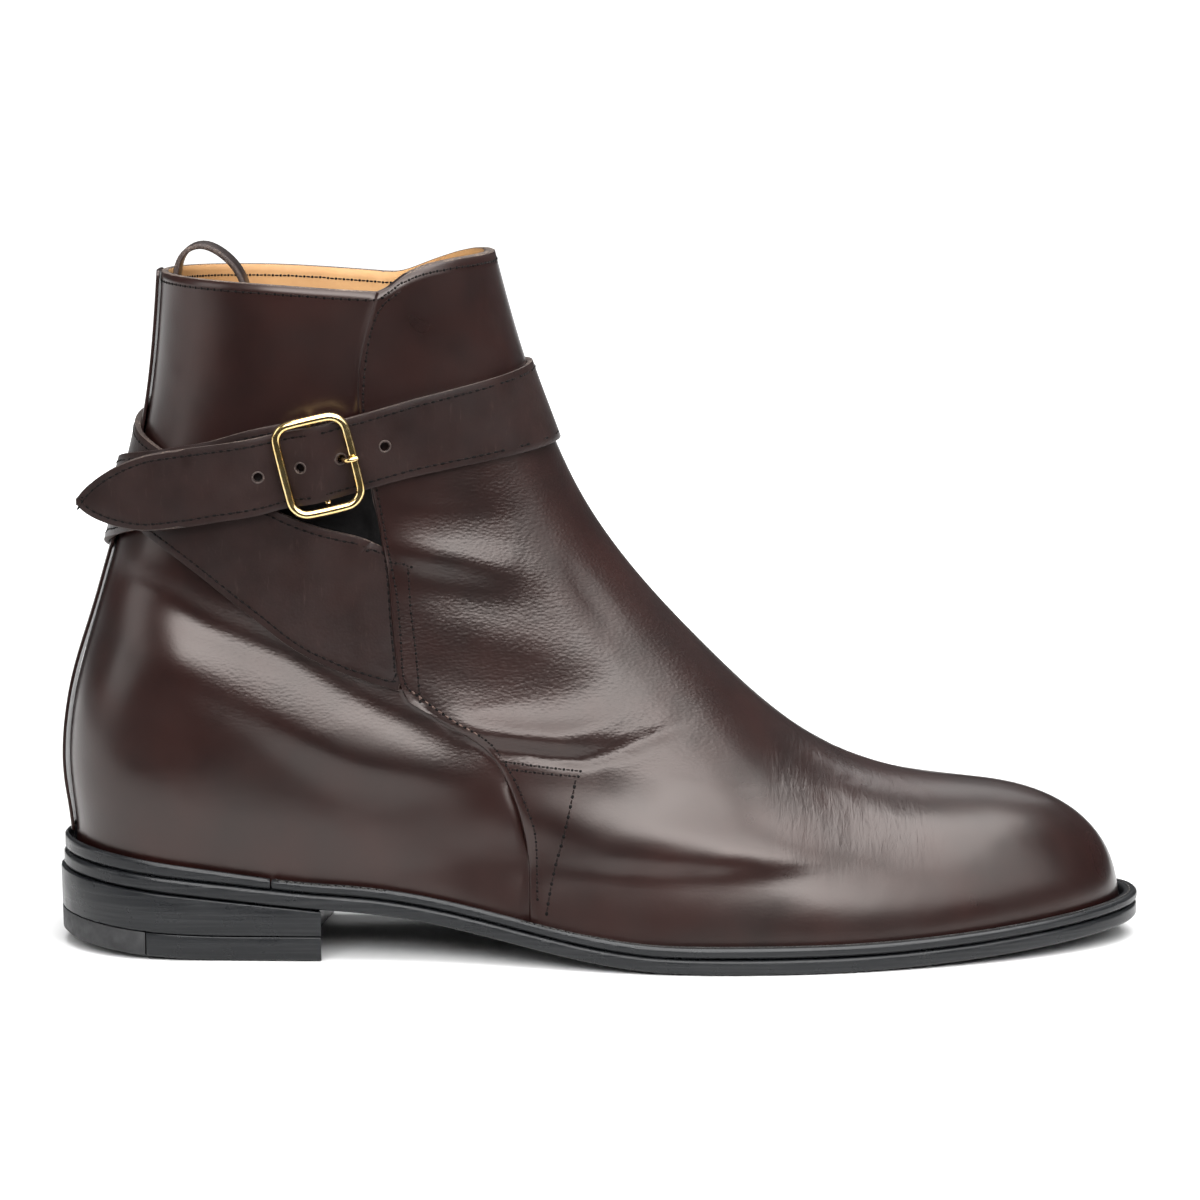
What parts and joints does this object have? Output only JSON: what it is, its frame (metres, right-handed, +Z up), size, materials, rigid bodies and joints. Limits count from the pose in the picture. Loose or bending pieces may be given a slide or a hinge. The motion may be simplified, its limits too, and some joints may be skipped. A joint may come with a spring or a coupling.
{
  "type": "jodhpur boot",
  "caption": "Ankle boot for the right foot with two straps wrapped round the shaft, a brass buckle, a pull loop, a welted leather sole and a stacked heel.",
  "frame": {"origin": "on the floor at the flat spot of the heel's bottom face", "axes": "+X along the foot towards the toe, +Y towards the inner side of the right foot, +Z up"},
  "size_m": [0.31, 0.1071, 0.2],
  "materials": {
    "calf_leather": "polished dark brown calf",
    "strap_leather": "satin dark brown calf",
    "sole_edge": "black edge dressing, semi-gloss",
    "heel_edge": "black edge dressing, semi-gloss",
    "heel_rubber": "matt black",
    "lining_leather": "tan lining, matt",
    "brass": "polished"
  },
  "bodies": {
    "root": {"outsole": "sole_edge", "welt": "sole_edge", "heel_rand": "sole_edge", "heel_stack": "heel_edge", "heel_top_leather": "heel_edge", "heel_top_rubber": "heel_rubber", "insole": "lining_leather", "upper": "calf_leather", "back_strip": "calf_leather", "long_strap": "strap_leather", "buckle_strap": "strap_leather", "pull_loop": "strap_leather", "buckle_frame": "brass", "buckle_prong": "brass"}
  },
  "joints": []
}
